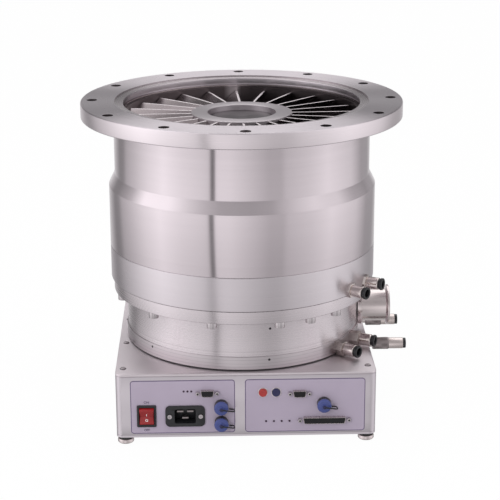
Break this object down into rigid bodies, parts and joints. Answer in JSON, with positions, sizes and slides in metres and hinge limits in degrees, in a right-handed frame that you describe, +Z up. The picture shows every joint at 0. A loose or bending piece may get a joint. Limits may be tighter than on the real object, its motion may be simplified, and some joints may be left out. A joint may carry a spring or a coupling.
{
  "type": "turbomolecular pump",
  "caption": "Magnetically levitated turbomolecular vacuum pump with ISO-F inlet, bladed rotor and drag stage, KF exhaust, water cooling fittings and a controller base.",
  "frame": {"origin": "centre of the inlet flange's sealing face, on the rotor's axis", "axes": "+Z up out of the inlet along the rotor's axis, -Y towards the controller's front panel, +X along the exhaust port"},
  "size_m": [0.436, 0.425, 0.421],
  "materials": {
    "turned_aluminium": "fine turned",
    "satin_aluminium": "satin",
    "machined_aluminium": "machined",
    "blade_aluminium": "milled",
    "bolt_steel": "plain",
    "nickel": "nickel plated",
    "knurled_steel": "knurled",
    "polished_steel": "polished",
    "black_plastic": "moulded",
    "blue_plastic": "moulded",
    "red_plastic": "moulded",
    "navy_plastic": "moulded",
    "panel_film": "printed film",
    "lamp_lens": "clear dark",
    "seal_rubber": "plain",
    "shaft_steel": "ground",
    "copper_winding": "varnished",
    "board_green": "solder mask",
    "port_shell": "tinned"
  },
  "bodies": {
    "pump_body": {"axial_magnets": "copper_winding", "base_housing": "machined_aluminium", "bearing_housing": "machined_aluminium", "bottom_plate": "satin_aluminium", "button_bezels": "nickel", "cap_tethers": "black_plastic", "cartridge_screws": "bolt_steel", "casing_bolts": "bolt_steel", "control_board": "board_green", "controller_case": "satin_aluminium", "cooling_ring": "satin_aluminium", "coupling_bodies": "nickel", "coupling_nuts": "knurled_steel", "coupling_plugs": "black_plastic", "coupling_sleeves": "polished_steel", "cover_screws": "bolt_steel", "data_ports": "port_shell", "exhaust_port": "polished_steel", "foot_glides": "polished_steel", "foot_pads": "black_plastic", "holweck_stator": "machined_aluminium", "housing_plugs": "bolt_steel", "inlet_casing": "turned_aluminium", "inlet_pins": "polished_steel", "jackscrews": "bolt_steel", "motor_stator": "copper_winding", "panel_overlays": "panel_film", "port_inserts": "black_plastic", "position_sensors": "black_plastic", "power_inlet": "black_plastic", "radial_magnets": "copper_winding", "round_connectors": "black_plastic", "spacer_rings": "machined_aluminium", "stator_stage_1": "blade_aluminium", "stator_stage_2": "blade_aluminium", "stator_stage_3": "blade_aluminium", "stator_stage_4": "blade_aluminium", "stator_stage_5": "blade_aluminium", "status_lamps": "lamp_lens", "switch_frame": "black_plastic", "top_plate": "satin_aluminium", "touchdown_bearings": "shaft_steel", "vacuum_seals": "seal_rubber", "water_fittings": "nickel"},
    "rotor_assembly": {"rotor": "blade_aluminium", "holweck_drum": "blade_aluminium", "rotor_shaft": "shaft_steel", "rotor_clamp_disc": "shaft_steel", "shaft_sleeves": "shaft_steel", "thrust_disc": "shaft_steel"},
    "power_rocker": {"power_rocker": "red_plastic"},
    "run_button": {"run_button": "red_plastic"},
    "reset_button": {"reset_button": "navy_plastic"},
    "release_collet_1": {"release_collet_1": "black_plastic"},
    "release_collet_2": {"release_collet_2": "black_plastic"},
    "release_collet_3": {"release_collet_3": "black_plastic"},
    "release_collet_4": {"release_collet_4": "black_plastic"},
    "dust_cap_1": {"dust_cap_1": "blue_plastic"},
    "dust_cap_2": {"dust_cap_2": "blue_plastic"},
    "dust_cap_3": {"dust_cap_3": "blue_plastic"}
  },
  "joints": [
    {"name": "rotor_spin", "type": "hinge", "parent": "pump_body", "child": "rotor_assembly", "pos_m": [0, 0, 0], "axis": [0, 0, -1], "continuous": true},
    {"name": "rocker_tilt", "type": "hinge", "parent": "pump_body", "child": "power_rocker", "pos_m": [-0.1285, -0.165, -0.381], "axis": [-1, 0, 0], "range_deg": [0, 16]},
    {"name": "run_press", "type": "slide", "parent": "pump_body", "child": "run_button", "axis": [0, 1, 0], "range_m": [0, 0.0025], "stiffness_N_per_m": 300, "springref_m": -0.001},
    {"name": "reset_press", "type": "slide", "parent": "pump_body", "child": "reset_button", "axis": [0, 1, 0], "range_m": [0, 0.0025], "stiffness_N_per_m": 300, "springref_m": -0.001},
    {"name": "collet_1_press", "type": "slide", "parent": "pump_body", "child": "release_collet_1", "axis": [-0.7716, 0.6361, 0], "range_m": [0, 0.0015], "stiffness_N_per_m": 400, "springref_m": -0.001},
    {"name": "collet_2_press", "type": "slide", "parent": "pump_body", "child": "release_collet_2", "axis": [-0.891, 0.454, 0], "range_m": [0, 0.0015], "stiffness_N_per_m": 400, "springref_m": -0.001},
    {"name": "collet_3_press", "type": "slide", "parent": "pump_body", "child": "release_collet_3", "axis": [-0.7716, 0.6361, 0], "range_m": [0, 0.0015], "stiffness_N_per_m": 400, "springref_m": -0.001},
    {"name": "collet_4_press", "type": "slide", "parent": "pump_body", "child": "release_collet_4", "axis": [-0.9063, 0.4226, 0], "range_m": [0, 0.0015], "stiffness_N_per_m": 400, "springref_m": -0.001},
    {"name": "dust_cap_1_turn", "type": "hinge", "parent": "pump_body", "child": "dust_cap_1", "pos_m": [-0.0322, -0.17, -0.3682], "axis": [0, -1, 0], "range_deg": [-60, 0]},
    {"name": "dust_cap_2_turn", "type": "hinge", "parent": "pump_body", "child": "dust_cap_2", "pos_m": [-0.0322, -0.17, -0.391], "axis": [0, -1, 0], "range_deg": [-60, 0]},
    {"name": "dust_cap_3_turn", "type": "hinge", "parent": "pump_body", "child": "dust_cap_3", "pos_m": [0.1002, -0.17, -0.3666], "axis": [0, -1, 0], "range_deg": [-60, 0]}
  ]
}
